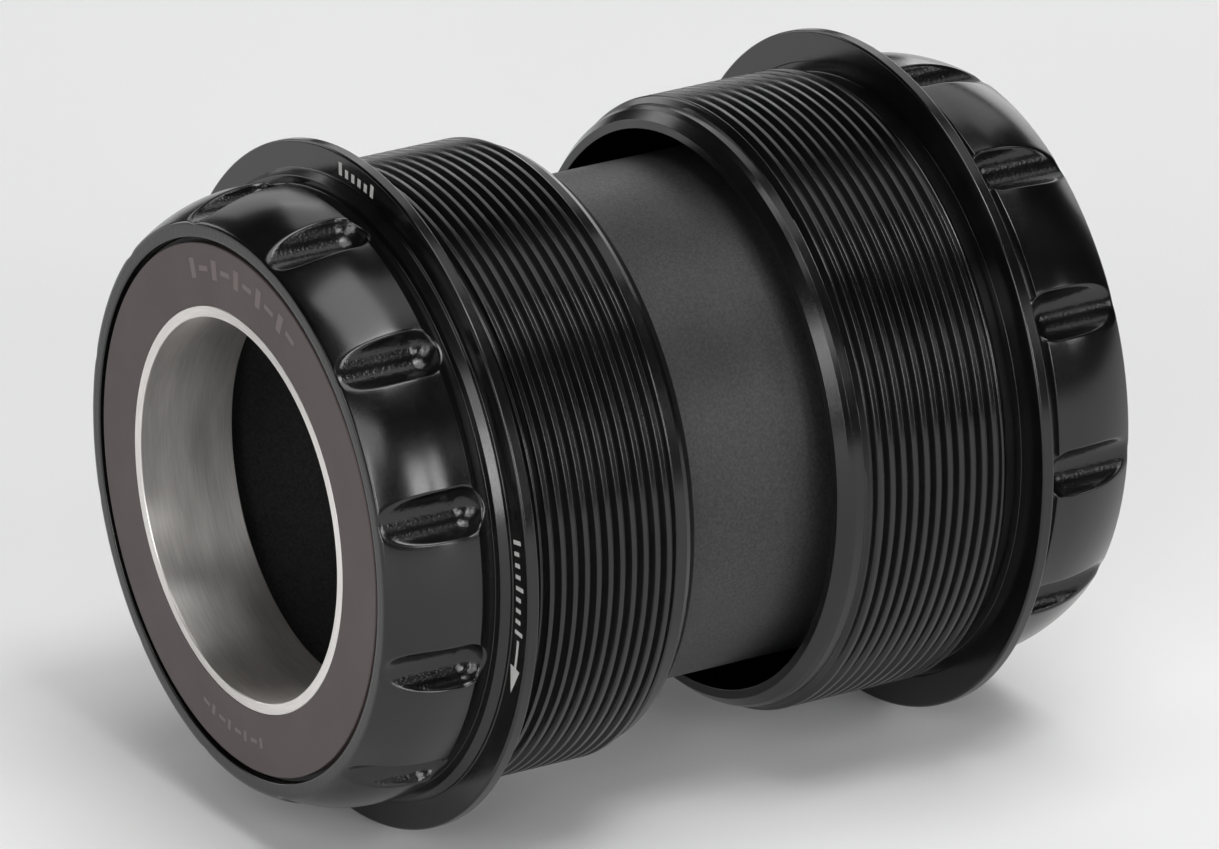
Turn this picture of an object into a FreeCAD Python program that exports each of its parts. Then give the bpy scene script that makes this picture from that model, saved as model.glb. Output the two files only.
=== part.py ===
"""Threaded outboard bottom bracket: two cups on a telescoping centre sleeve.

Millimetres. X forward, Y along the spindle axis towards the left-hand cup,
Z up, origin on the spindle axis midway between the two cup noses.

Each side is drawn once in a local frame whose Z axis is the spindle axis,
with z = 0 on the cup's nose and z growing inboard, then placed on its side.
"""
import FreeCAD
import Part
import math
import os

# ---- standards the part is built to ----
THREAD_MAJOR_D = 47.0       # M47 x 1 shell thread
THREAD_PITCH = 1.0
SPINDLE_D = 28.99           # spindle journal the bearings take
SHELL_WIDTH = 68.0          # width of the frame shell the cups reach when fitted

# ---- overall sizes ----
BRACKET_LENGTH = 64.2       # nose to nose, pushed together as shipped
CUP_LENGTH = 25.95          # nose to inboard end
FLANGE_D = 52.0
FLANGE_T = 1.0
FLANGE_Z = 9.45             # outboard face of the flange, from the nose

# ---- bearing: 29 x 41 thin section with an extended inner ring ----
BEARING_OD = 41.0
BEARING_W = 6.6
BALL_D = 3.175
BALL_COUNT = 20
BALL_CLEARANCE = 0.015      # radial play of each ball against a raceway
SHOULDER_GAP = 0.8          # raceway shoulder to pitch radius
SEAL_T = 0.7
SEAL_INSET = 0.15           # seal face below the ring face
SEAL_LEDGE = 0.5            # how far the seal bead reaches into the outer ring
SEAL_LIP_CLEARANCE = 0.03
CAGE_T = 1.1                # radial thickness
CAGE_SIDE_GAP = 0.15        # cage to seal
POCKET_CLEARANCE = 0.1
BORE_CLEARANCE = 0.01       # inner ring over the spindle journal, radial
RING_CHAMFER = 0.2

# ---- dust cover and its lip seal, carried by the inner ring ----
COVER_GAP = 0.4             # radial gap between cover and cup mouth
COVER_T = 0.7
COVER_RECESS = 0.1
COVER_EDGE = 0.1            # chamfer on the cover's rim
NOSE_WALL = 0.85            # bright nose of the inner ring
LIP_SEAL_T = 0.45
LIP_CLEARANCE = 0.05
COVER_BEARING_GAP = 0.15    # lip seal to outer ring

# ---- cup housing ----
LIP_WIDTH = 1.1             # flat lip around the mouth
MOUTH_CHAMFER = 0.12
HOUSING_WALL = 2.8          # over the bearing seat
DOME_LENGTH = 6.0
GROOVE_Z = 2.15             # root groove start, outboard of the flange face
GROOVE_DEPTH = 0.45
GROOVE_BLEND = 0.9          # length of the arc that leads down into the groove
STEP_RISE = 0.2             # step ring over the housing
STEP_WIDTH = 0.85
STEP_CHAMFER_R = 0.4
STEP_CHAMFER_Z = 0.6
RIM_CHAMFER = 0.17
SHOULDER_T = 1.4            # web the bearing is pressed against
SHOULDER_STEP = 1.5         # web below the bearing seat

# ---- tool notches ----
NOTCH_COUNT = 12
NOTCH_CUTTER_D = 3.7
NOTCH_DEPTH = 1.7
NOTCH_END_GAP = 1.35        # end of a notch to the flange face
LEFT_NOTCH_ANGLE = 13.8
RIGHT_NOTCH_ANGLE = 27.0

# ---- thread and inboard end of the cup ----
THREAD_DEPTH = 0.55
CREST_FLAT = 0.30
FLANK_ANGLE = 30.0
RELIEF_LENGTH = 1.15
RELIEF_DEPTH = 0.7
RUN_OUT_GAP = 0.1           # air between the ends of the helical groove and the flange and land
SEAT_UNDERCUT = 0.15        # undercut beside the seat face
SEAT_MARGIN = 0.1
RUN_OUT_Z = 0.35            # length of the chamfer that leads the thread down to the land
LAND_LENGTH = 0.75
LAND_DEPTH = 0.57
LEAD_CHAMFER_R = 0.2
LEAD_CHAMFER_Z = 0.4
END_CONE_R = 0.65
END_CONE_Z = 0.75
END_FACE = 0.7

# ---- centre sleeve and its seals ----
SLEEVE_OD = 38.6
SLEEVE_WALL = 1.4
COLLAR_LENGTH = 4.0
COLLAR_CLEARANCE = 0.06
COLLAR_CHAMFER = 0.3
SLEEVE_END_GAP = 0.2
CORD_D = 1.5
CORD_CLEARANCE = 0.01
CORD_GROOVE_W = 2.0

# ---- derived radii and stations ----
THREAD_R = THREAD_MAJOR_D / 2
ROOT_R = THREAD_R - THREAD_DEPTH
LAND_R = THREAD_R - LAND_DEPTH
RELIEF_R = THREAD_R - RELIEF_DEPTH
LEAD_R = LAND_R - LEAD_CHAMFER_R
END_R = LEAD_R - END_CONE_R
SLEEVE_BORE_R = END_R - END_FACE
FLANGE_R = FLANGE_D / 2
FLANGE_IN_Z = FLANGE_Z + FLANGE_T
SEAT_R = BEARING_OD / 2
LIP_R = SEAT_R + LIP_WIDTH
HOUSING_R = SEAT_R + HOUSING_WALL
GROOVE_R = HOUSING_R - GROOVE_DEPTH
STEP_R = HOUSING_R + STEP_RISE
STEP_FOOT_R = STEP_R + STEP_CHAMFER_R
BORE_R = SPINDLE_D / 2 + BORE_CLEARANCE
NOSE_R = BORE_R + NOSE_WALL
COVER_BACK_Z = COVER_RECESS + COVER_T
RING_STEP_Z = COVER_BACK_Z + LIP_SEAL_T
BEARING_Z0 = RING_STEP_Z + COVER_BEARING_GAP
BEARING_Z1 = BEARING_Z0 + BEARING_W
BALL_Z = (BEARING_Z0 + BEARING_Z1) / 2
PITCH_R = (BORE_R + SEAT_R) / 2
BALL_R = BALL_D / 2
INNER_SHOULDER_R = PITCH_R - SHOULDER_GAP
OUTER_SHOULDER_R = PITCH_R + SHOULDER_GAP
SEAL_R = OUTER_SHOULDER_R + SEAL_LEDGE
WEB_R = SEAT_R - SHOULDER_STEP
WEB_Z = BEARING_Z1 + SHOULDER_T
SLEEVE_END_Z = WEB_Z + SLEEVE_END_GAP
SLEEVE_R = SLEEVE_OD / 2
SLEEVE_LENGTH = BRACKET_LENGTH - 2 * SLEEVE_END_Z
COLLAR_R = SLEEVE_BORE_R - COLLAR_CLEARANCE
CORD_PITCH_R = SLEEVE_BORE_R - CORD_CLEARANCE - CORD_D / 2
CORD_FLOOR_R = CORD_PITCH_R - CORD_D / 2
THREAD_Z0 = FLANGE_IN_Z + RELIEF_LENGTH
THREAD_Z1 = CUP_LENGTH - END_CONE_Z - LEAD_CHAMFER_Z - LAND_LENGTH

Z_AXIS = FreeCAD.Vector(0, 0, 1)
X_AXIS = FreeCAD.Vector(1, 0, 0)
ORIGIN = FreeCAD.Vector(0, 0, 0)


def point(r, z):
    return FreeCAD.Vector(r, 0, z)


def revolve(corners):
    """Turn a closed outline of (r, z) corners about the axis.

    A corner written (r, z, r_mid, z_mid) is reached by an arc through the middle point.
    """
    edges = []
    last = point(*corners[-1][:2])
    for corner in corners:
        here = point(*corner[:2])
        if len(corner) == 4:
            edges.append(Part.Arc(last, point(*corner[2:]), here).toShape())
        else:
            edges.append(Part.makeLine(last, here))
        last = here
    face = Part.Face(Part.Wire(edges))
    return face.revolve(ORIGIN, Z_AXIS, 360)


def dome_mid():
    """Middle point and end point of the arc that rounds the housing's nose."""
    drop = HOUSING_R - LIP_R
    radius = (DOME_LENGTH ** 2 + drop ** 2) / (2 * drop)
    z = DOME_LENGTH / 2
    r = HOUSING_R - radius + math.sqrt(radius ** 2 - (DOME_LENGTH - z) ** 2)
    return r, z


def cup_blank():
    """The cup before the notches and the thread are cut."""
    mid_r, mid_z = dome_mid()
    groove_z = FLANGE_Z - GROOVE_Z
    blend_r = HOUSING_R - GROOVE_DEPTH * 0.8
    step_z = FLANGE_Z - STEP_WIDTH
    under_r = THREAD_R + SEAT_MARGIN
    lead = THREAD_R - RELIEF_R
    corners = [
        (SEAT_R, MOUTH_CHAMFER),
        (SEAT_R + MOUTH_CHAMFER, 0),
        (LIP_R, 0),
        (HOUSING_R, DOME_LENGTH, mid_r, mid_z),
        (HOUSING_R, groove_z),
        (GROOVE_R, groove_z + GROOVE_BLEND, blend_r, groove_z + GROOVE_BLEND / 2),
        (GROOVE_R, step_z),
        (STEP_R, step_z),
        (STEP_FOOT_R, step_z + STEP_CHAMFER_Z),
        (STEP_FOOT_R, FLANGE_Z),
        (FLANGE_R - RIM_CHAMFER, FLANGE_Z),
        (FLANGE_R, FLANGE_Z + RIM_CHAMFER),
        (FLANGE_R, FLANGE_IN_Z - RIM_CHAMFER),
        (FLANGE_R - RIM_CHAMFER, FLANGE_IN_Z),
        (under_r, FLANGE_IN_Z),
        (under_r, FLANGE_IN_Z - SEAT_UNDERCUT),
        (RELIEF_R, FLANGE_IN_Z - SEAT_UNDERCUT),
        (RELIEF_R, THREAD_Z0),
        (THREAD_R, THREAD_Z0 + lead),
        (THREAD_R, THREAD_Z1 - RUN_OUT_Z),
        (LAND_R, THREAD_Z1),
        (LAND_R, THREAD_Z1 + LAND_LENGTH),
        (LEAD_R, THREAD_Z1 + LAND_LENGTH + LEAD_CHAMFER_Z),
        (END_R, CUP_LENGTH),
        (SLEEVE_BORE_R, CUP_LENGTH),
        (SLEEVE_BORE_R, WEB_Z),
        (WEB_R, WEB_Z),
        (WEB_R, BEARING_Z1),
        (SEAT_R, BEARING_Z1),
    ]
    return revolve(corners)


def thread_groove(left_handed):
    """The helical groove between the thread crests, as a solid to cut away."""
    over = CREST_FLAT / 3
    slope = math.tan(math.radians(FLANK_ANGLE))
    half_root = (THREAD_PITCH - CREST_FLAT) / 2 - THREAD_DEPTH * slope
    half_top = (THREAD_PITCH - CREST_FLAT) / 2 + over * slope
    start = FLANGE_IN_Z + half_top + RUN_OUT_GAP
    height = THREAD_Z1 + half_top + RUN_OUT_GAP - start
    helix = Part.makeLongHelix(THREAD_PITCH, height, ROOT_R, 0, left_handed)
    helix.translate(FreeCAD.Vector(0, 0, start))
    top_r = THREAD_R + over
    corners = [
        point(ROOT_R, start - half_root),
        point(top_r, start - half_top),
        point(top_r, start + half_top),
        point(ROOT_R, start + half_root),
    ]
    profile = Part.makePolygon(corners + corners[:1])
    return Part.Wire(helix.Edges).makePipeShell([profile], True, True)


def notch_cutters(first_angle):
    """Ball-ended slots that leave the nose and stop short of the flange."""
    radius = NOTCH_CUTTER_D / 2
    axis_r = HOUSING_R - NOTCH_DEPTH + radius
    ball_z = FLANGE_Z - NOTCH_END_GAP - radius
    cutters = []
    for k in range(NOTCH_COUNT):
        rod = Part.makeCylinder(radius, ball_z + radius, point(axis_r, -radius), Z_AXIS)
        ball = Part.makeSphere(radius, point(axis_r, ball_z))
        cutter = rod.fuse(ball)
        cutter.rotate(ORIGIN, Z_AXIS, first_angle + 360.0 * k / NOTCH_COUNT)
        cutters.append(cutter)
    return cutters


def cup(first_angle, left_handed):
    body = cup_blank()
    body = body.cut(thread_groove(left_handed))
    for cutter in notch_cutters(first_angle):
        body = body.cut(cutter)
    return body


def raceway():
    """A ring of ball-sized section that hollows the raceways."""
    return Part.makeTorus(PITCH_R, BALL_R + BALL_CLEARANCE, point(0, BALL_Z), Z_AXIS)


def outer_ring():
    ledge = SEAL_INSET + SEAL_T
    corners = [
        (SEAL_R, BEARING_Z0),
        (SEAT_R - RING_CHAMFER, BEARING_Z0),
        (SEAT_R, BEARING_Z0 + RING_CHAMFER),
        (SEAT_R, BEARING_Z1 - RING_CHAMFER),
        (SEAT_R - RING_CHAMFER, BEARING_Z1),
        (SEAL_R, BEARING_Z1),
        (SEAL_R, BEARING_Z1 - ledge),
        (OUTER_SHOULDER_R, BEARING_Z1 - ledge),
        (OUTER_SHOULDER_R, BEARING_Z0 + ledge),
        (SEAL_R, BEARING_Z0 + ledge),
    ]
    return revolve(corners).cut(raceway())


def inner_ring():
    chamfer = RING_CHAMFER / 2
    corners = [
        (BORE_R, COVER_RECESS + chamfer),
        (BORE_R + chamfer, COVER_RECESS),
        (NOSE_R, COVER_RECESS),
        (NOSE_R, RING_STEP_Z),
        (INNER_SHOULDER_R, RING_STEP_Z),
        (INNER_SHOULDER_R, BEARING_Z1),
        (BORE_R + chamfer, BEARING_Z1),
        (BORE_R, BEARING_Z1 - chamfer),
    ]
    return revolve(corners).cut(raceway())


def seal(z0):
    lip_r = INNER_SHOULDER_R + SEAL_LIP_CLEARANCE
    return revolve([(lip_r, z0), (SEAL_R, z0), (SEAL_R, z0 + SEAL_T), (lip_r, z0 + SEAL_T)])


def balls():
    solids = []
    for k in range(BALL_COUNT):
        ball = Part.makeSphere(BALL_R, point(PITCH_R, BALL_Z))
        ball.rotate(ORIGIN, Z_AXIS, 360.0 * k / BALL_COUNT)
        solids.append(ball)
    return Part.makeCompound(solids)


def cage():
    inset = SEAL_INSET + SEAL_T + CAGE_SIDE_GAP
    z0 = BEARING_Z0 + inset
    z1 = BEARING_Z1 - inset
    inner = PITCH_R - CAGE_T / 2
    outer = PITCH_R + CAGE_T / 2
    body = revolve([(inner, z0), (outer, z0), (outer, z1), (inner, z1)])
    pocket = BALL_R + POCKET_CLEARANCE
    for k in range(BALL_COUNT):
        drill = Part.makeCylinder(pocket, 4 * CAGE_T, point(PITCH_R - 2 * CAGE_T, BALL_Z), X_AXIS)
        drill.rotate(ORIGIN, Z_AXIS, 360.0 * k / BALL_COUNT)
        body = body.cut(drill)
    return body


def dust_cover():
    outer = SEAT_R - COVER_GAP
    corners = [
        (NOSE_R, COVER_RECESS),
        (outer - COVER_EDGE, COVER_RECESS),
        (outer, COVER_RECESS + COVER_EDGE),
        (outer, COVER_BACK_Z),
        (NOSE_R, COVER_BACK_Z),
    ]
    return revolve(corners)


def lip_seal():
    outer = SEAT_R - LIP_CLEARANCE
    corners = [(NOSE_R, COVER_BACK_Z), (outer, COVER_BACK_Z), (outer, RING_STEP_Z), (NOSE_R, RING_STEP_Z)]
    return revolve(corners)


def centre_sleeve():
    """Drawn about the local Z axis with its middle at z = 0."""
    half = SLEEVE_LENGTH / 2
    bore = SLEEVE_R - SLEEVE_WALL
    mid = half - COLLAR_LENGTH / 2
    g0 = mid - CORD_GROOVE_W / 2
    g1 = mid + CORD_GROOVE_W / 2
    collar = half - COLLAR_LENGTH
    right = [
        (SLEEVE_R, collar - (COLLAR_R - SLEEVE_R) / 2),
        (COLLAR_R, collar + COLLAR_CHAMFER),
        (COLLAR_R, g0),
        (CORD_FLOOR_R, g0),
        (CORD_FLOOR_R, g1),
        (COLLAR_R, g1),
        (COLLAR_R, half - COLLAR_CHAMFER),
        (COLLAR_R - COLLAR_CHAMFER, half),
        (bore, half),
    ]
    left = [(r, -z) for r, z in reversed(right)]
    return revolve(left + right)


def cord_ring():
    """An O-ring, drawn at the middle of the sleeve's collar, in the cup's local frame."""
    z = SLEEVE_END_Z + COLLAR_LENGTH / 2
    return Part.makeTorus(CORD_PITCH_R, CORD_D / 2, point(0, z), Z_AXIS)


def place_left(shape):
    shape.rotate(ORIGIN, X_AXIS, 90)
    shape.translate(FreeCAD.Vector(0, BRACKET_LENGTH / 2, 0))
    return shape


def place_right(shape):
    shape.rotate(ORIGIN, X_AXIS, -90)
    shape.translate(FreeCAD.Vector(0, -BRACKET_LENGTH / 2, 0))
    return shape


def place_centre(shape):
    shape.rotate(ORIGIN, X_AXIS, 90)
    return shape


def save(name, shape):
    shape.exportStep("parts/" + name + ".step")


def side(prefix, place, notch_angle, left_handed):
    seal_out_z = BEARING_Z0 + SEAL_INSET
    seal_in_z = BEARING_Z1 - SEAL_INSET - SEAL_T
    save(prefix + "_cup", place(cup(notch_angle, left_handed)))
    save(prefix + "_bearing_outer_ring", place(outer_ring()))
    save(prefix + "_bearing_inner_ring", place(inner_ring()))
    save(prefix + "_bearing_balls", place(balls()))
    save(prefix + "_bearing_cage", place(cage()))
    save(prefix + "_bearing_outboard_seal", place(seal(seal_out_z)))
    save(prefix + "_bearing_inboard_seal", place(seal(seal_in_z)))
    save(prefix + "_dust_cover", place(dust_cover()))
    save(prefix + "_cover_lip_seal", place(lip_seal()))
    save(prefix + "_sleeve_o_ring", place(cord_ring()))


def main():
    os.makedirs("parts", exist_ok=True)
    side("left", place_left, LEFT_NOTCH_ANGLE, False)
    side("right", place_right, RIGHT_NOTCH_ANGLE, True)
    save("centre_sleeve", place_centre(centre_sleeve()))


main()
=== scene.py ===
"""Studio scene of a threaded outboard bottom bracket, built around its CAD frame.

Metres in Blender; the sizes below are in millimetres. X forward, Y along the spindle
axis towards the left-hand cup, Z up, origin midway between the two noses. A profile is
drawn in a cup's own (z, r): z = 0 at its outboard nose and grows inboard.
"""
import math

import bmesh
import bpy
import numpy as np
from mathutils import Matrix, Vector


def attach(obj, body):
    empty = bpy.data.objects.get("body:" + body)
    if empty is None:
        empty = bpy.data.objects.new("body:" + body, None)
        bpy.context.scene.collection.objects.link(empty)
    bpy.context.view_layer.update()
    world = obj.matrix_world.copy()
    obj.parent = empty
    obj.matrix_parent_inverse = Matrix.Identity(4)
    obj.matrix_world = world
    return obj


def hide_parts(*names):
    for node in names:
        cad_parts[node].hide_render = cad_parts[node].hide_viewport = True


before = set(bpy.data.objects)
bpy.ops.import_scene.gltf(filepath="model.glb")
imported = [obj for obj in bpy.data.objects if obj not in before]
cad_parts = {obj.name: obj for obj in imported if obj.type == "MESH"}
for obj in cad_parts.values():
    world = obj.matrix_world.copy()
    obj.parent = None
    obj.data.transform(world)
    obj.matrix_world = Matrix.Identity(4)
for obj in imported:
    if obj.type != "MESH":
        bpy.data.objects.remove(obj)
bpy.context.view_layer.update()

MM = 0.001
TURN = 2 * math.pi
HALF_LENGTH = 32.1          # origin to a cup's nose
SIDES = {"left": 1, "right": -1}

# ---- cup, millimetres ----
SEAT_R = 20.5
LIP_R = 21.6
LIP_FLAT_R = 20.75          # where the lip's flat face meets the notched surface
HOUSING_R = 23.3
DOME_LENGTH = 6.0
GROOVE_R = 22.85
GROOVE_START_Z = 7.3
GROOVE_BLEND = 0.9
HOUSING_END_Z = 8.45        # end of the notched surface, in the root groove
STEP_Z = 8.6
STEP_R = 23.5
STEP_FOOT_R = 23.9
STEP_CHAMFER_Z = 0.6
FLANGE_R = 26.0
FLANGE_Z = 9.45
FLANGE_T = 1.0
UNDERCUT_R = 23.6
UNDERCUT = 0.15
RELIEF_R = 22.8
THREAD_R = 23.5
THREAD_PITCH = 1.0
THREAD_DEPTH = 0.55
FLANK_ANGLE = 30.0
CREST_FLAT = 0.30
THREAD_Z0 = 11.6
THREAD_Z1 = 24.05
THREAD_PHASE = 0.458        # crest position at angle 0, in pitches
RUN_OUT_Z = 0.35            # chamfer that leads the thread down to the land
LAND_R = 22.93
LAND_LENGTH = 0.75
LEAD_R = 22.73
LEAD_CHAMFER_Z = 0.4
END_R = 22.08
CUP_LENGTH = 25.95
SLEEVE_BORE_R = 21.38
WEB_R = 19.0
WEB_Z = 9.4
SEAT_Z = 8.0
LIP_EDGE = 0.2              # width over which the lip's edge is rounded

# ---- tool notches ----
NOTCH_COUNT = 12
NOTCH_R = 1.85
NOTCH_AXIS_R = 23.45
NOTCH_BALL_Z = 6.25
NOTCH_EDGE = 0.22           # width over which the notch's edge is rounded
NOTCH_END_HALF = 0.35       # half width of a notch's blunt ends
NOTCH_ANGLE = {"left": 13.8, "right": 3.0}

# ---- ring, cover, sleeve ----
BORE_R = 14.505
NOSE_R = 15.355
COVER_RECESS = 0.1
COVER_R = 20.1
COVER_T = 0.7
RING_STEP_Z = 1.25
INNER_SHOULDER_R = 16.7025
BEARING_Z1 = 8.0
RING_SEAM_Z = 4.0           # where the outline of the ring closes, on its plain bore
SLEEVE_R = 19.3
SLEEVE_BORE = 17.9
SLEEVE_END_Z = 9.6
SLEEVE_SEAM_R = 19.0        # where the outline of the sleeve closes, on its end face
COLLAR_R = 21.32
COLLAR_LENGTH = 4.0
COLLAR_CHAMFER = 0.3
CORD_FLOOR_R = 19.87
CORD_GROOVE_W = 2.0

# ---- marks on the left flange and both covers, angles in degrees ----
ARROW_R = 24.8
ARROW_TAIL = 188.2
ARROW_NECK = 193.6
ARROW_TIP = 198.8
ARROW_HALF_TAIL = 0.13
ARROW_HALF_HEAD = 0.62
MARK_LIFT = 0.012           # how far a mark stands off its face
MARK_SINK = 0.02            # how far it reaches in

# ---- mesh rows and limits ----
FILLET_STEPS = 3
FILLET_SHARE = 0.45         # of an outline's edge, the most that a fillet may take
LIP_ROWS = (LIP_FLAT_R, 21.0, 21.25, 21.42, 21.53)
DOME_ROWS = (0.012, 0.045, 0.09, 0.15, 0.22, 0.31, 0.42, 0.55, 0.72, 0.95, 1.25, 1.6, 2.0, 2.5,
             3.0, 3.5, 4.0, 4.5, 5.0, 5.4, 5.8, NOTCH_BALL_Z)
GROOVE_ROWS = (8.16, 8.24, 8.34, HOUSING_END_Z)
THREAD_ROWS = (0.11, 0.145, 0.175, 0.25, 0.36, 0.45)    # pitches from a crest, on both its sides
LATHE_SEGMENTS = 288
SETTLE_STEPS = 12           # moves that bring a point onto the rounded housing
NO_CUT = 1e3                # radius where no notch cuts


# ------------------------------------------------------------------ profiles
def rounded(corners):
    """Points and outward normals of an open outline with its corners rounded.

    corners: (z, r, fillet radius). The outline runs so that its outside is on the left
    of the direction of travel when z points right and r points up.
    """
    pts, nrm = [], []
    count = len(corners)
    xy = np.array([c[:2] for c in corners], float)
    for i, (z, r, fillet) in enumerate(corners):
        here = np.array([z, r])
        if i in (0, count - 1) or fillet <= 0:
            sides = []
            if i > 0:
                sides.append(xy[i] - xy[i - 1])
            if i < count - 1:
                sides.append(xy[i + 1] - xy[i])
            for d in sides:
                d = d / np.linalg.norm(d)
                pts.append(here)
                nrm.append(np.array([-d[1], d[0]]))
            continue
        a = (xy[i] - xy[i - 1]) / np.linalg.norm(xy[i] - xy[i - 1])
        b = (xy[i + 1] - xy[i]) / np.linalg.norm(xy[i + 1] - xy[i])
        turn = math.atan2(a[0] * b[1] - a[1] * b[0], a @ b)
        back = fillet * abs(math.tan(turn / 2))
        room = FILLET_SHARE * min(np.linalg.norm(xy[i] - xy[i - 1]), np.linalg.norm(xy[i + 1] - xy[i]))
        if back > room:
            fillet *= room / back
            back = room
        start = here - a * back
        side = math.copysign(1, turn)
        centre = start + np.array([-a[1], a[0]]) * fillet * side
        for k in range(FILLET_STEPS + 1):
            t = turn * k / FILLET_STEPS
            n0 = np.array([-a[1], a[0]])
            c, s = math.cos(t), math.sin(t)
            n = np.array([n0[0] * c - n0[1] * s, n0[0] * s + n0[1] * c])
            pts.append(centre - n * fillet * side)
            nrm.append(n)
    return np.array(pts), np.array(nrm)


class Skin:
    """One mesh, gathered ring by ring round the spindle axis."""

    def __init__(self, side, angles):
        self.side = side
        self.angles = angles
        self.co = []
        self.no = []
        self.faces = []
        self.count = 0

    def ring(self, z, r, nz, nr):
        """Adds one ring and returns its vertex numbers; z, r and the normal may vary round it."""
        a = self.angles
        z, r, nz, nr = (np.broadcast_to(np.asarray(v, float), a.shape) for v in (z, r, nz, nr))
        co = np.stack([r * np.cos(a), self.side * (HALF_LENGTH - z), r * np.sin(a)], 1)
        no = np.stack([nr * np.cos(a), -self.side * nz, nr * np.sin(a)], 1)
        return self.add(co, no)

    def add(self, co, no):
        self.co.append(co)
        self.no.append(no)
        ids = np.arange(self.count, self.count + len(co))
        self.count += len(co)
        return ids

    def band(self, a, b):
        """Faces between two rings, wrapping round."""
        self.strip(np.append(a, a[0]), np.append(b, b[0]))

    def strip(self, a, b):
        for q in zip(a[:-1], a[1:], b[1:], b[:-1]):
            corners = [int(v) for k, v in enumerate(q) if v != q[k - 1]]
            if len(set(corners)) > 2:
                self.faces.append(corners if self.side > 0 else corners[::-1])

    def outline(self, corners, first, close=None):
        """Rings along a rounded outline that starts at the ring first, and ends at the ring close."""
        pts, nrm = rounded(corners)
        last = first
        for (z, r), (nz, nr) in zip(pts[1:-1], nrm[1:-1]):
            ids = self.ring(z, r, nz, nr)
            self.band(last, ids)
            last = ids
        if close is None:
            close = self.ring(*pts[-1], *nrm[-1])
        self.band(last, close)
        return close

    def build(self, name, attributes=()):
        used = np.unique(np.concatenate([np.array(f) for f in self.faces]))
        number = np.full(self.count, -1)
        number[used] = np.arange(len(used))
        co = np.concatenate(self.co)[used] * MM
        no = np.concatenate(self.no)[used]
        mesh = bpy.data.meshes.new(name)
        mesh.from_pydata(co.tolist(), [], [[int(number[v]) for v in f] for f in self.faces])
        mesh.shade_smooth()
        for key, values in attributes:
            layer = mesh.attributes.new(key, "FLOAT", "POINT")
            layer.data.foreach_set("value", np.asarray(values, np.float32)[used])
        mesh.normals_split_custom_set_from_vertices(no.tolist())
        obj = bpy.data.objects.new(name, mesh)
        bpy.context.scene.collection.objects.link(obj)
        return obj


# ------------------------------------------------------------------ cup surface
def smooth_max(a, b, width):
    """The larger of two distances, with the change from one to the other rounded."""
    blend = np.clip(1 - np.abs(a - b) / width, 0, 1)
    return np.maximum(a, b) + width / 4 * blend ** 2


def housing_profile(z):
    """Radius of the housing before the notches are cut."""
    drop = HOUSING_R - LIP_R
    radius = (DOME_LENGTH ** 2 + drop ** 2) / (2 * drop)
    rise = np.clip(DOME_LENGTH - z, 0, DOME_LENGTH + 1)
    dome = HOUSING_R - radius + np.sqrt(radius ** 2 - rise ** 2)
    t = np.clip((z - GROOVE_START_Z) / GROOVE_BLEND, 0, 1)
    return dome - (HOUSING_R - GROOVE_R) * (1 - (1 - t) ** 2)


def housing_gap(p):
    """Signed distance of points (across, out, z) from the notched housing, below zero inside it."""
    x, r0, z = p
    r = np.hypot(x, r0)
    slope = (housing_profile(z + 0.01) - housing_profile(z - 0.01)) / 0.02
    outer = (r - housing_profile(z)) / np.hypot(1, slope)
    body = smooth_max(outer, -z, LIP_EDGE)
    along = np.maximum(z - NOTCH_BALL_Z, 0)
    cutter = np.sqrt(x ** 2 + (r0 - NOTCH_AXIS_R) ** 2 + along ** 2) - NOTCH_R
    return smooth_max(body, -cutter, NOTCH_EDGE), -outer


def slope_of(p):
    """Unit direction in which the gap grows fastest, and how fast it grows."""
    step = 1e-4
    grad = []
    for axis in range(3):
        lo, hi = [c.copy() for c in p], [c.copy() for c in p]
        lo[axis] = lo[axis] - step
        hi[axis] = hi[axis] + step
        grad.append((housing_gap(hi)[0] - housing_gap(lo)[0]) / (2 * step))
    size = np.sqrt(sum(g ** 2 for g in grad))
    return [g / size for g in grad], size


def half_sector(width):
    """Angles from a notch's middle to halfway to the next, for a notch of that half angle."""
    inside = width * np.sin(np.radians([0, 12, 24, 36, 47, 57, 66, 74, 81, 86]))
    edge = width + np.radians([0, 0.1, 0.25, 0.5])
    left = math.pi / NOTCH_COUNT - edge[-1]
    return np.concatenate([inside, edge, edge[-1] + left * np.array([0.08, 0.2, 0.36, 0.55, 0.77, 1])])


def sector_angles(width):
    half = half_sector(width)
    return np.concatenate([-half[-2:0:-1], half])


def all_angles(width, first):
    sector = sector_angles(width)
    turns = [first + TURN * k / NOTCH_COUNT + sector for k in range(NOTCH_COUNT)]
    return np.concatenate(turns)


def notch_half_width(z):
    """Half the width of a notch's mouth at z, kept above a small value past its two ends."""
    reach = NOTCH_R ** 2 - np.maximum(z - NOTCH_BALL_Z, 0) ** 2 - (NOTCH_AXIS_R - housing_profile(z)) ** 2
    return math.sqrt(max(reach, NOTCH_END_HALF ** 2))


def housing_rows():
    """(z, radius before the notches, half width of the mesh's notch columns) from lip to root groove."""
    full = NOTCH_R
    rows = []
    for r in LIP_ROWS:
        share = (LIP_R - r) / (LIP_R - LIP_FLAT_R)
        rows.append((0.0, r, NOTCH_END_HALF + share * (full - NOTCH_END_HALF)))
    ball = [NOTCH_BALL_Z + NOTCH_R * math.sin(math.radians(t)) for t in range(5, 91, 5)]
    for z in [*DOME_ROWS, *ball]:
        rows.append((z, float(housing_profile(z)), notch_half_width(z)))
    for z in GROOVE_ROWS:
        share = (z - ball[-1]) / (HOUSING_END_Z - ball[-1])
        rows.append((z, float(housing_profile(z)), NOTCH_END_HALF + share * (full - NOTCH_END_HALF)))
    return rows


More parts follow.
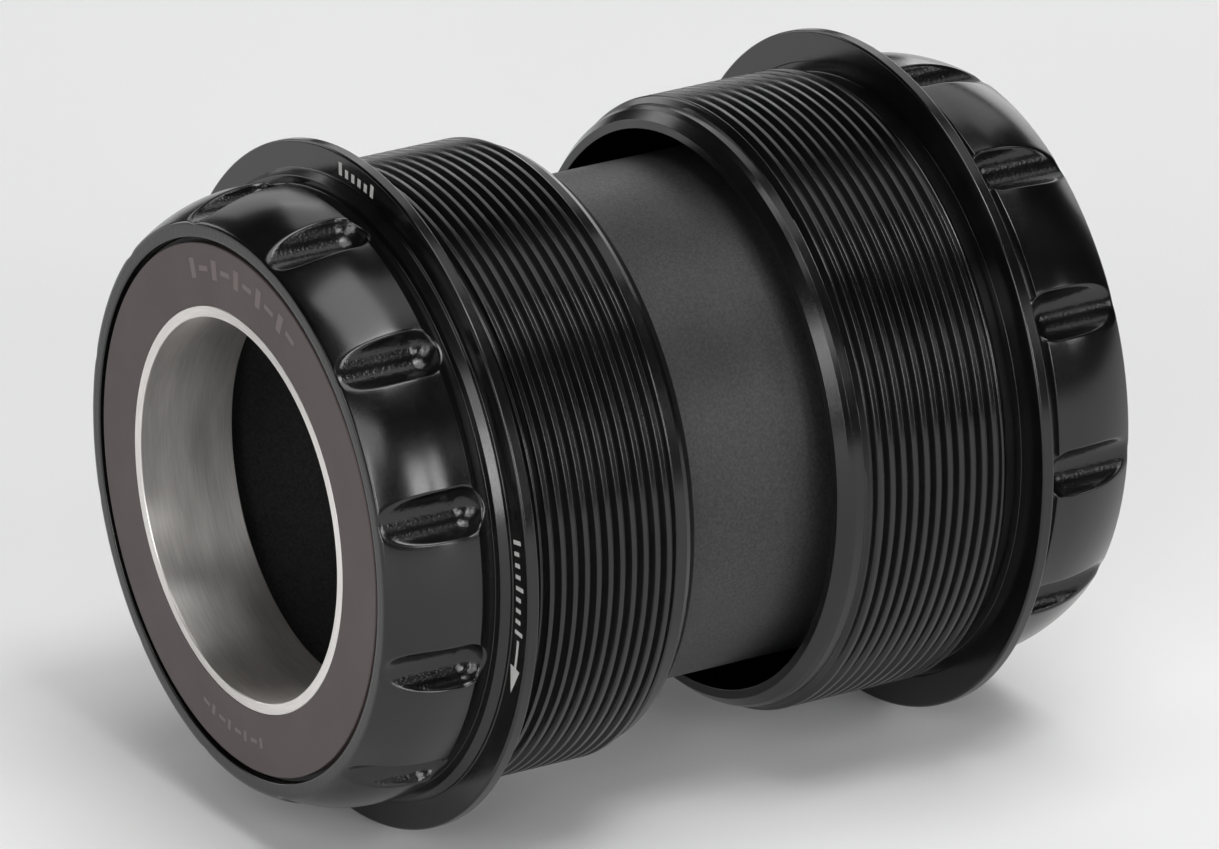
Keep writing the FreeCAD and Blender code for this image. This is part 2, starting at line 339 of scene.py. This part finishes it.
def add_housing(skin, first_angle):
    """Rings over the lip, dome and notches. Returns the first and last ring and the depth below the dome."""
    begin = last = None
    depths = []
    for z, r, half in housing_rows():
        angle = all_angles(half / r, first_angle)
        local = np.tile(sector_angles(half / r), NOTCH_COUNT)
        rho = math.sqrt(max(NOTCH_R ** 2 - max(z - NOTCH_BALL_Z, 0) ** 2, 0))
        across = r * np.sin(local)
        cut = NOTCH_AXIS_R - np.sqrt(np.maximum(rho ** 2 - across ** 2, 0))
        cut = np.where(np.abs(across) < rho, cut, NO_CUT)
        radius = np.minimum(r, np.where(z > 0, cut / np.cos(local), NO_CUT))
        p = [radius * np.sin(local), radius * np.cos(local), np.full(len(local), z)]
        for _ in range(SETTLE_STEPS):
            (gx, gr, gz), size = slope_of(p)
            gap = housing_gap(p)[0] / size
            p = [p[0] - gap * gx, p[1] - gap * gr, p[2] - gap * gz]
        (gx, gr, gz), size = slope_of(p)
        depths.append(housing_gap(p)[1])
        middle = angle - local
        x = p[1] * np.cos(middle) - p[0] * np.sin(middle)
        up = p[1] * np.sin(middle) + p[0] * np.cos(middle)
        nx = gr * np.cos(middle) - gx * np.sin(middle)
        nup = gr * np.sin(middle) + gx * np.cos(middle)
        co = np.stack([x, skin.side * (HALF_LENGTH - p[2]), up], 1)
        no = np.stack([nx, -skin.side * gz, nup], 1)
        ids = skin.add(co, no)
        if last is not None:
            skin.band(last, ids)
        begin = ids if begin is None else begin
        last = ids
    return begin, last, np.concatenate(depths)


def thread_envelope(z):
    """Radius that the crests are turned down to at the thread's two ends."""
    run_out = (THREAD_R - LAND_R) / RUN_OUT_Z
    return np.minimum(RELIEF_R + (z - THREAD_Z0), LAND_R + (THREAD_Z1 - z) * run_out)


def add_thread(skin, first):
    """Helical rows from the relief groove to the plain land. Returns the last ring."""
    offsets = np.array([-h for h in reversed(THREAD_ROWS)] + [0, *THREAD_ROWS, 0.5])
    over = np.maximum(np.abs(offsets) - CREST_FLAT / 2, 0)
    depth = np.minimum(over / math.tan(math.radians(FLANK_ANGLE)), THREAD_DEPTH)
    per_turn = len(offsets)
    lead = THREAD_PITCH * skin.angles / TURN
    start = skin.ring(THREAD_Z0, RELIEF_R, 0, 1)
    end = skin.ring(THREAD_Z1, LAND_R, 0, 1)
    skin.band(first, start)
    base = math.floor(THREAD_Z0) - 2 + THREAD_PHASE
    turns = math.ceil(THREAD_Z1 - base) + 1
    rows = []
    for row in range(turns * per_turn):
        z = base + THREAD_PITCH * (row // per_turn + offsets[row % per_turn]) + lead
        r = np.minimum(THREAD_R - depth[row % per_turn], thread_envelope(z))
        ids = skin.ring(z, r, 0, 0)
        ids = np.where(z <= THREAD_Z0 + 1e-6, start, ids)
        rows.append(np.where(z >= THREAD_Z1 - 1e-6, end, ids))
    for row in range(len(rows) - 1):
        after = row + per_turn
        low = rows[after][0] if after < len(rows) else end[0]
        high = rows[after + 1][0] if after + 1 < len(rows) else end[0]
        skin.strip(np.append(rows[row], low), np.append(rows[row + 1], high))
    return end


def build_cup(name):
    side = SIDES[name]
    first_angle = math.radians(NOTCH_ANGLE[name])
    angles = all_angles(NOTCH_R / HOUSING_R, first_angle)
    skin = Skin(side, angles)
    begin, last, depths = add_housing(skin, first_angle)
    flange_in = FLANGE_Z + FLANGE_T
    outer = [
        (HOUSING_END_Z, GROOVE_R, 0),
        (STEP_Z, GROOVE_R, 0.06),
        (STEP_Z, STEP_R, 0.08),
        (STEP_Z + STEP_CHAMFER_Z, STEP_FOOT_R, 0.1),
        (FLANGE_Z, STEP_FOOT_R, 0.1),
        (FLANGE_Z, FLANGE_R, 0.2),
        (flange_in, FLANGE_R, 0.2),
        (flange_in, UNDERCUT_R, 0.04),
        (flange_in - UNDERCUT, UNDERCUT_R, 0.03),
        (flange_in - UNDERCUT, RELIEF_R, 0.06),
        (THREAD_Z0, RELIEF_R, 0),
    ]
    last = add_thread(skin, skin.outline(outer, last))
    inner = [
        (THREAD_Z1, LAND_R, 0),
        (THREAD_Z1 + LAND_LENGTH, LAND_R, 0.05),
        (THREAD_Z1 + LAND_LENGTH + LEAD_CHAMFER_Z, LEAD_R, 0.1),
        (CUP_LENGTH, END_R, 0.06),
        (CUP_LENGTH, SLEEVE_BORE_R, 0.08),
        (WEB_Z, SLEEVE_BORE_R, 0.2),
        (WEB_Z, WEB_R, 0.1),
        (SEAT_Z, WEB_R, 0.1),
        (SEAT_Z, SEAT_R, 0.1),
        (0, SEAT_R, 0.12),
        (0, LIP_FLAT_R, 0),
    ]
    skin.outline(inner, last, begin)
    notch = np.zeros(skin.count)
    notch[:len(depths)] = np.clip((depths - 0.05) / 0.2, 0, 1)
    cup = skin.build(name + "_cup_shell", [("notch", notch)])
    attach(cup, name + "_cup_body")
    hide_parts(name + "_cup")
    return cup


def lathe(name, corners, body, side="left"):
    """A closed turned piece. corners is its outline, starting and ending at one point of a flat."""
    skin = Skin(SIDES[side], np.arange(LATHE_SEGMENTS) * TURN / LATHE_SEGMENTS)
    pts, nrm = rounded(corners)
    first = skin.ring(*pts[0], *nrm[0])
    skin.outline(corners, first, first)
    piece = skin.build(name)
    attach(piece, body)
    return piece


def build_inner_ring(name):
    corners = [
        (RING_SEAM_Z, BORE_R, 0),
        (COVER_RECESS, BORE_R, 0.12),
        (COVER_RECESS, NOSE_R, 0.1),
        (RING_STEP_Z, NOSE_R, 0.05),
        (RING_STEP_Z, INNER_SHOULDER_R, 0.1),
        (BEARING_Z1, INNER_SHOULDER_R, 0.15),
        (BEARING_Z1, BORE_R, 0.15),
        (RING_SEAM_Z, BORE_R, 0),
    ]
    ring = lathe(name + "_inner_ring", corners, name + "_rotor", name)
    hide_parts(name + "_bearing_inner_ring")
    return ring


def build_cover(name):
    middle = COVER_RECESS + COVER_T / 2
    back = COVER_RECESS + COVER_T
    corners = [
        (middle, NOSE_R, 0),
        (COVER_RECESS, NOSE_R, 0.04),
        (COVER_RECESS, COVER_R, 0.12),
        (back, COVER_R, 0.05),
        (back, NOSE_R, 0.04),
        (middle, NOSE_R, 0),
    ]
    cover = lathe(name + "_cover", corners, name + "_rotor", name)
    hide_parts(name + "_dust_cover")
    return cover


def build_sleeve():
    near = SLEEVE_END_Z
    far = 2 * HALF_LENGTH - SLEEVE_END_Z
    ease = COLLAR_R - SLEEVE_R
    half_groove = CORD_GROOVE_W / 2
    mid = near + COLLAR_LENGTH / 2
    collar_end = near + COLLAR_LENGTH
    corners = [
        (near, SLEEVE_SEAM_R, 0),
        (near, COLLAR_R, 0.3),
        (mid - half_groove, COLLAR_R, 0.05),
        (mid - half_groove, CORD_FLOOR_R, 0.1),
        (mid + half_groove, CORD_FLOOR_R, 0.1),
        (mid + half_groove, COLLAR_R, 0.05),
        (collar_end - COLLAR_CHAMFER, COLLAR_R, 0.1),
        (collar_end + ease / 2, SLEEVE_R, 0.5),
    ]
    corners += [(2 * HALF_LENGTH - z, r, f) for z, r, f in corners[:0:-1]]
    corners += [(far, SLEEVE_BORE, 0.15), (near, SLEEVE_BORE, 0.15), (near, SLEEVE_SEAM_R, 0)]
    sleeve = lathe("sleeve_tube", corners, "sleeve")
    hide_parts("centre_sleeve")
    return sleeve


# ------------------------------------------------------------------ plain marks
def plate(name, outline, z, side, body):
    """A thin closed plate on a face that looks outboard, cut to an outline of (radius, angle) points."""
    count = len(outline)
    co = []
    for level in (z - MARK_LIFT, z + MARK_SINK):
        for r, a in outline:
            co.append((r * math.cos(a) * MM, SIDES[side] * (HALF_LENGTH - level) * MM, r * math.sin(a) * MM))
    faces = [list(range(count)), list(range(2 * count - 1, count - 1, -1))]
    for k in range(count):
        n = (k + 1) % count
        faces.append([k, k + count, n + count, n])
    mesh = bpy.data.meshes.new(name)
    mesh.from_pydata(co, [], faces)
    mesh.update()
    obj = bpy.data.objects.new(name, mesh)
    bpy.context.scene.collection.objects.link(obj)
    fix_winding(obj)
    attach(obj, body)
    return obj


def fix_winding(obj):
    bm = bmesh.new()
    bm.from_mesh(obj.data)
    bmesh.ops.recalc_face_normals(bm, faces=bm.faces)
    bm.to_mesh(obj.data)
    bm.free()


def arc_bar(r0, r1, a0, a1, steps):
    """Outline of a bar that follows a circle: radii r0 to r1, angles a0 to a1 in degrees."""
    turn = np.radians(np.linspace(a0, a1, steps + 1))
    return [(r1, a) for a in turn] + [(r0, a) for a in turn[::-1]]


def arrow_outline(r_mid, tail, head_start, tip, half_tail, half_head):
    """An arrow bent round a circle, its angles in degrees."""
    outer = [(r_mid + half_tail, a) for a in np.radians(np.linspace(tail, head_start, 9))]
    head = [(r_mid + half_head, math.radians(head_start)), (r_mid, math.radians(tip))]
    head.append((r_mid - half_head, math.radians(head_start)))
    inner = [(r_mid - half_tail, a) for a in np.radians(np.linspace(head_start, tail, 9))]
    return outer + head + inner


def tick_row(count, first, step, width, radii, long_every):
    """Outlines of evenly spaced ticks. radii: foot, top of a short tick, top of a long one."""
    foot, short, tall = radii
    ticks = []
    for k in range(count):
        a = first + step * k
        ticks.append(arc_bar(foot, short if k % long_every else tall, a, a + width, 2))
    return ticks


def bar_and_arc_row(count, first, step, bar, arc):
    """Outlines of bars and the arcs after them, by turns. bar and arc: two radii, two angles, steps."""
    shapes = []
    for k in range(count):
        a = first + step * k
        for r0, r1, a0, a1, steps in (bar, arc):
            shapes.append(arc_bar(r0, r1, a + a0, a + a1, steps))
    return shapes


def add_flange_marks(material):
    """A turning arrow with a row of ticks, and a second row of ticks, on the left flange."""
    arrow = arrow_outline(ARROW_R, ARROW_TAIL, ARROW_NECK, ARROW_TIP, ARROW_HALF_TAIL, ARROW_HALF_HEAD)
    shapes = [("turn_arrow", arrow)]
    for k, outline in enumerate(tick_row(9, 170, 2.05, 0.75, (24.3, 24.95, 25.3), 4)):
        shapes.append(("flange_tick_%d" % k, outline))
    for k, outline in enumerate(tick_row(6, 88, 2.1, 1.0, (24.35, 25.0, 25.35), 5)):
        shapes.append(("top_tick_%d" % k, outline))
    for name, outline in shapes:
        mark = plate(name, outline, FLANGE_Z, "left", "left_cup_body")
        paint(mark, material)


def add_cover_marks(name, material):
    """Faint bars and arcs round a cover, in an upper and a lower row."""
    shapes = bar_and_arc_row(5, 69, 10.2, (17.45, 18.95, 0, 2.2, 3), (18.0, 18.4, 4.2, 8.2, 6))
    shapes += bar_and_arc_row(4, -101, 7.6, (17.3, 18.1, 0, 1.3, 3), (17.55, 17.85, 2.6, 5.6, 5))
    for k, outline in enumerate(shapes):
        label = "%s_cover_mark_%d" % (name, k)
        mark = plate(label, outline, COVER_RECESS, name, name + "_rotor")
        paint(mark, material)


# ------------------------------------------------------------------ materials
class Graph:
    """A material's node tree, with short calls for the nodes used here. Lengths are in millimetres."""

    def __init__(self, name):
        self.material = bpy.data.materials.new(name)
        self.material.use_nodes = True
        self.tree = self.material.node_tree
        self.shader = self.tree.nodes["Principled BSDF"]
        where = self.node("ShaderNodeTexCoord")
        scale = self.node("ShaderNodeVectorMath", operation="SCALE")
        scale.inputs["Scale"].default_value = 1 / MM
        self.link(where.outputs["Object"], scale.inputs[0])
        self.place = scale.outputs["Vector"]
        split = self.node("ShaderNodeSeparateXYZ")
        self.link(self.place, split.inputs[0])
        self.x, self.y, self.z = split.outputs

    def node(self, kind, **props):
        made = self.tree.nodes.new(kind)
        for key, value in props.items():
            setattr(made, key, value)
        return made

    def link(self, out, into):
        if isinstance(out, (int, float)):
            into.default_value = out
        else:
            self.tree.links.new(out, into)

    def math(self, operation, a, b=0.0):
        made = self.node("ShaderNodeMath", operation=operation)
        self.link(a, made.inputs[0])
        self.link(b, made.inputs[1])
        return made.outputs[0]

    def radius(self):
        return self.math("SQRT", self.math("ADD", self.math("MULTIPLY", self.x, self.x),
                                           self.math("MULTIPLY", self.z, self.z)))

    def noise(self, scale, detail, rough=0.5):
        made = self.node("ShaderNodeTexNoise")
        self.link(self.place, made.inputs["Vector"])
        made.inputs["Scale"].default_value = scale
        made.inputs["Detail"].default_value = detail
        made.inputs["Roughness"].default_value = rough
        return made.outputs["Fac"]

    def turned(self, across, around, detail=2.0):
        """Noise drawn out round the spindle axis, as a lathe leaves it: lines per mm across and around."""
        radius = self.radius()
        vector = self.node("ShaderNodeCombineXYZ")
        self.link(self.math("MULTIPLY", self.math("DIVIDE", self.x, radius), around), vector.inputs[0])
        self.link(self.math("MULTIPLY", self.math("DIVIDE", self.z, radius), around), vector.inputs[1])
        self.link(self.math("MULTIPLY", radius, across), vector.inputs[2])
        made = self.node("ShaderNodeTexNoise", noise_dimensions="4D")
        self.link(vector.outputs[0], made.inputs["Vector"])
        self.link(self.math("MULTIPLY", self.y, across), made.inputs["W"])
        made.inputs["Scale"].default_value = 1.0
        made.inputs["Detail"].default_value = detail
        return made.outputs["Fac"]

    def ramp(self, value, low, high, to_low=0.0, to_high=1.0):
        made = self.node("ShaderNodeMapRange")
        self.link(value, made.inputs["Value"])
        for key, number in (("From Min", low), ("From Max", high), ("To Min", to_low), ("To Max", to_high)):
            made.inputs[key].default_value = number
        return made.outputs["Result"]

    def tint(self, value, dark, light):
        made = self.node("ShaderNodeMix", data_type="RGBA")
        self.link(value, made.inputs["Factor"])
        made.inputs["A"].default_value = (*dark, 1)
        made.inputs["B"].default_value = (*light, 1)
        return made.outputs["Result"]

    def colour(self, out):
        self.link(out, self.shader.inputs["Base Color"])

    def roughness(self, out):
        self.link(out, self.shader.inputs["Roughness"])

    def relief(self, *layers):
        """Bumps, each (height output, depth in micrometres), one on another."""
        normal = None
        for height, depth in layers:
            bump = self.node("ShaderNodeBump")
            bump.inputs["Strength"].default_value = 1.0
            bump.inputs["Distance"].default_value = depth * 1e-6
            self.link(height, bump.inputs["Height"])
            if normal is not None:
                self.link(normal, bump.inputs["Normal"])
            normal = bump.outputs["Normal"]
        self.link(normal, self.shader.inputs["Normal"])


def anodised():
    g = Graph("black_anodised_aluminium")
    grain = g.noise(7.0, 2.0)
    cloud = g.noise(0.25, 3.0)
    lines = g.turned(9.0, 6.0)
    g.colour(g.tint(g.ramp(cloud, 0.3, 0.7), (0.0028, 0.0028, 0.0030), (0.0048, 0.0047, 0.0047)))
    g.roughness(g.math("ADD", g.ramp(grain, 0.3, 0.7, 0.16, 0.22), g.ramp(cloud, 0.3, 0.7, -0.015, 0.03)))
    notch = g.node("ShaderNodeAttribute", attribute_name="notch").outputs["Fac"]
    chatter = g.math("MULTIPLY", g.noise(4.2, 2.0), notch)
    g.relief((lines, 0.8), (grain, 1.2), (chatter, 22))
    g.shader.inputs["IOR"].default_value = 1.55
    return g.material


def bearing_steel():
    g = Graph("brushed_bearing_steel")
    lines = g.turned(9.0, 7.0, 1.0)
    smear = g.turned(0.35, 1.2, 2.0)
    tone = g.math("ADD", g.math("MULTIPLY", lines, 0.45), g.math("MULTIPLY", smear, 0.55))
    g.colour(g.tint(g.ramp(tone, 0.3, 0.7), (0.70, 0.67, 0.65), (0.93, 0.90, 0.875)))
    g.roughness(g.ramp(smear, 0.3, 0.7, 0.35, 0.42))
    tangent = g.node("ShaderNodeTangent", direction_type="RADIAL", axis="Y")
    g.link(tangent.outputs["Tangent"], g.shader.inputs["Tangent"])
    g.shader.inputs["Anisotropic"].default_value = 0.8
    g.shader.inputs["Anisotropic Rotation"].default_value = 0.25
    g.shader.inputs["Metallic"].default_value = 1.0
    return g.material


def ball_steel():
    g = Graph("polished_ball_steel")
    cloud = g.noise(0.6, 2.0)
    g.colour(g.tint(g.ramp(cloud, 0.3, 0.7), (0.66, 0.66, 0.67), (0.74, 0.74, 0.74)))
    g.roughness(g.ramp(g.noise(6.0, 2.0), 0.3, 0.7, 0.05, 0.1))
    g.shader.inputs["Metallic"].default_value = 1.0
    return g.material


def cover_plastic():
    g = Graph("satin_cover_plastic")
    cloud = g.noise(0.2, 3.0)
    grain = g.noise(9.0, 2.0)
    g.colour(g.tint(g.ramp(cloud, 0.3, 0.7), (0.062, 0.045, 0.045), (0.076, 0.056, 0.056)))
    g.roughness(g.ramp(grain, 0.3, 0.7, 0.44, 0.56))
    g.relief((grain, 2.0), (g.turned(5.0, 5.0), 0.8))
    return g.material


def sleeve_plastic():
    g = Graph("grained_sleeve_plastic")
    grain = g.noise(4.6, 3.0, 0.65)
    cloud = g.noise(0.15, 3.0)
    tone = g.math("ADD", g.math("MULTIPLY", grain, 0.75), g.math("MULTIPLY", cloud, 0.25))
    g.colour(g.tint(g.ramp(tone, 0.36, 0.66), (0.009, 0.009, 0.0094), (0.034, 0.034, 0.0345)))
    g.roughness(g.ramp(grain, 0.3, 0.7, 0.50, 0.40))
    g.relief((grain, 11.0))
    return g.material


def seal_rubber():
    g = Graph("seal_rubber")
    grain = g.noise(5.0, 2.0)
    g.colour(g.tint(g.ramp(grain, 0.3, 0.7), (0.008, 0.007, 0.007), (0.016, 0.014, 0.014)))
    g.roughness(g.ramp(grain, 0.3, 0.7, 0.55, 0.7))
    g.relief((grain, 3.0))
    return g.material


def cage_nylon():
    g = Graph("cage_nylon")
    cloud = g.noise(0.8, 3.0)
    g.colour(g.tint(g.ramp(cloud, 0.3, 0.7), (0.42, 0.36, 0.27), (0.52, 0.46, 0.36)))
    g.roughness(g.ramp(g.noise(6.0, 2.0), 0.3, 0.7, 0.4, 0.55))
    g.relief((g.noise(6.0, 2.0), 3.0))
    return g.material


def print_ink(name, dark, light):
    g = Graph(name)
    grain = g.noise(12.0, 2.0)
    g.colour(g.tint(g.ramp(grain, 0.3, 0.7), dark, light))
    g.roughness(g.ramp(grain, 0.3, 0.7, 0.45, 0.6))
    g.relief((grain, 1.5))
    return g.material


def floor_paper():
    g = Graph("floor_paper")
    cloud = g.noise(0.02, 2.0)
    g.colour(g.tint(g.ramp(cloud, 0.3, 0.7), (0.895, 0.895, 0.895), (0.905, 0.905, 0.905)))
    g.roughness(g.ramp(g.noise(2.0, 2.0), 0.3, 0.7, 0.7, 0.8))
    g.shader.inputs["Specular IOR Level"].default_value = 0.2
    return g.material


def paint(obj, material):
    obj.data.materials.clear()
    obj.data.materials.append(material)


# ------------------------------------------------------------------ camera, floor and lights
CAMERA_AZIMUTH = -121.22
CAMERA_ELEVATION = 22.13
CAMERA_DISTANCE = 1.0345
CAMERA_TARGET = (0.00213, -0.00126, -0.00090)
CAMERA_LENS = 408.8
CAMERA_REACH = 20.0
SENSOR_WIDTH = 36.0
FLOOR_HALF = 6.0

LIGHT_DISTANCE = 1.25
SOFTBOXES = [               # degrees round from the camera, degrees up, width and height, watts
    ("key_left", -30, 15, 0.30, 0.60, 2.75),
    ("strip_left", -10, 15, 0.15, 0.60, 2.75),
    ("key_front", -10, 35, 0.60, 0.30, 1.5),
    ("key_right", 30, 20, 0.30, 0.35, 2.5),
    ("strip_right", 45, 15, 0.20, 0.60, 2.5),
    ("right_edge", 75, 20, 0.30, 0.30, 1.0),
    ("nose_edge", -75, 5, 0.30, 0.30, 0.75),
    ("left_low", -135, 15, 0.40, 0.60, 1.5),
    ("rear_low", 155, 10, 1.00, 0.45, 2.5),
    ("rear_mid", 170, 40, 0.80, 0.60, 1.5),
    ("rear_left", -170, 20, 0.70, 0.45, 1.0),
    ("high_front", 0, 65, 0.30, 0.30, 0.5),
    ("high_right", 45, 65, 0.60, 0.30, 4.25),
    ("high_rear", 120, 65, 0.40, 0.40, 0.5),
    ("overhead", 40, 85, 0.75, 0.75, 5.0),
]


def toward(azimuth, elevation):
    """Unit vector from the object towards a viewer at that azimuth and elevation, in degrees."""
    a, e = math.radians(azimuth), math.radians(elevation)
    return Vector((math.sin(a) * math.cos(e), -math.cos(a) * math.cos(e), math.sin(e)))


def add_camera():
    data = bpy.data.cameras.new("camera")
    data.lens = CAMERA_LENS
    data.sensor_width = SENSOR_WIDTH
    data.clip_end = CAMERA_REACH
    camera = bpy.data.objects.new("camera", data)
    bpy.context.scene.collection.objects.link(camera)
    back = toward(CAMERA_AZIMUTH, CAMERA_ELEVATION)
    camera.location = Vector(CAMERA_TARGET) + back * CAMERA_DISTANCE
    camera.rotation_euler = back.to_track_quat("Z", "Y").to_euler()
    bpy.context.scene.camera = camera


def add_floor():
    size = FLOOR_HALF
    z = -FLANGE_R * MM
    mesh = bpy.data.meshes.new("floor")
    corners = [(-size, -size, z), (size, -size, z), (size, size, z), (-size, size, z)]
    mesh.from_pydata(corners, [], [(0, 1, 2, 3)])
    floor = bpy.data.objects.new("floor", mesh)
    bpy.context.scene.collection.objects.link(floor)
    paint(floor, floor_paper())


def add_softbox(name, round_from_camera, elevation, width, height, watts):
    data = bpy.data.lights.new(name, "AREA")
    data.shape = "RECTANGLE"
    data.size = width
    data.size_y = height
    data.energy = watts
    light = bpy.data.objects.new(name, data)
    bpy.context.scene.collection.objects.link(light)
    back = toward(CAMERA_AZIMUTH + round_from_camera, elevation)
    light.location = back * LIGHT_DISTANCE
    light.rotation_euler = back.to_track_quat("Z", "Y").to_euler()


def add_dark_world():
    """All the light comes from the softboxes."""
    world = bpy.data.worlds.new("studio")
    world.use_nodes = True
    world.node_tree.nodes["Background"].inputs["Color"].default_value = (1, 1, 1, 1)
    world.node_tree.nodes["Background"].inputs["Strength"].default_value = 0.0
    bpy.context.scene.world = world


# ------------------------------------------------------------------ the object
NODE_FINISH = {
    "bearing_outer_ring": "steel",
    "bearing_balls": "balls",
    "bearing_cage": "cage",
    "bearing_outboard_seal": "rubber",
    "bearing_inboard_seal": "rubber",
    "cover_lip_seal": "rubber",
    "sleeve_o_ring": "rubber",
}


def main():
    finish = {
        "anodised": anodised(),
        "steel": bearing_steel(),
        "balls": ball_steel(),
        "cage": cage_nylon(),
        "rubber": seal_rubber(),
        "cover": cover_plastic(),
        "sleeve": sleeve_plastic(),
        "cover_ink": print_ink("cover_ink", (0.135, 0.108, 0.105), (0.165, 0.133, 0.13)),
        "laser": print_ink("laser_mark", (0.42, 0.42, 0.41), (0.62, 0.62, 0.60)),
    }
    for name in SIDES:
        paint(build_cup(name), finish["anodised"])
        paint(build_inner_ring(name), finish["steel"])
        paint(build_cover(name), finish["cover"])
        for part, key in NODE_FINISH.items():
            paint(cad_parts[name + "_" + part], finish[key])
    paint(build_sleeve(), finish["sleeve"])
    add_flange_marks(finish["laser"])
    for name in SIDES:
        add_cover_marks(name, finish["cover_ink"])
    add_camera()
    add_floor()
    add_dark_world()
    for softbox in SOFTBOXES:
        add_softbox(*softbox)
    bpy.context.scene.view_settings.view_transform = "Standard"


main()
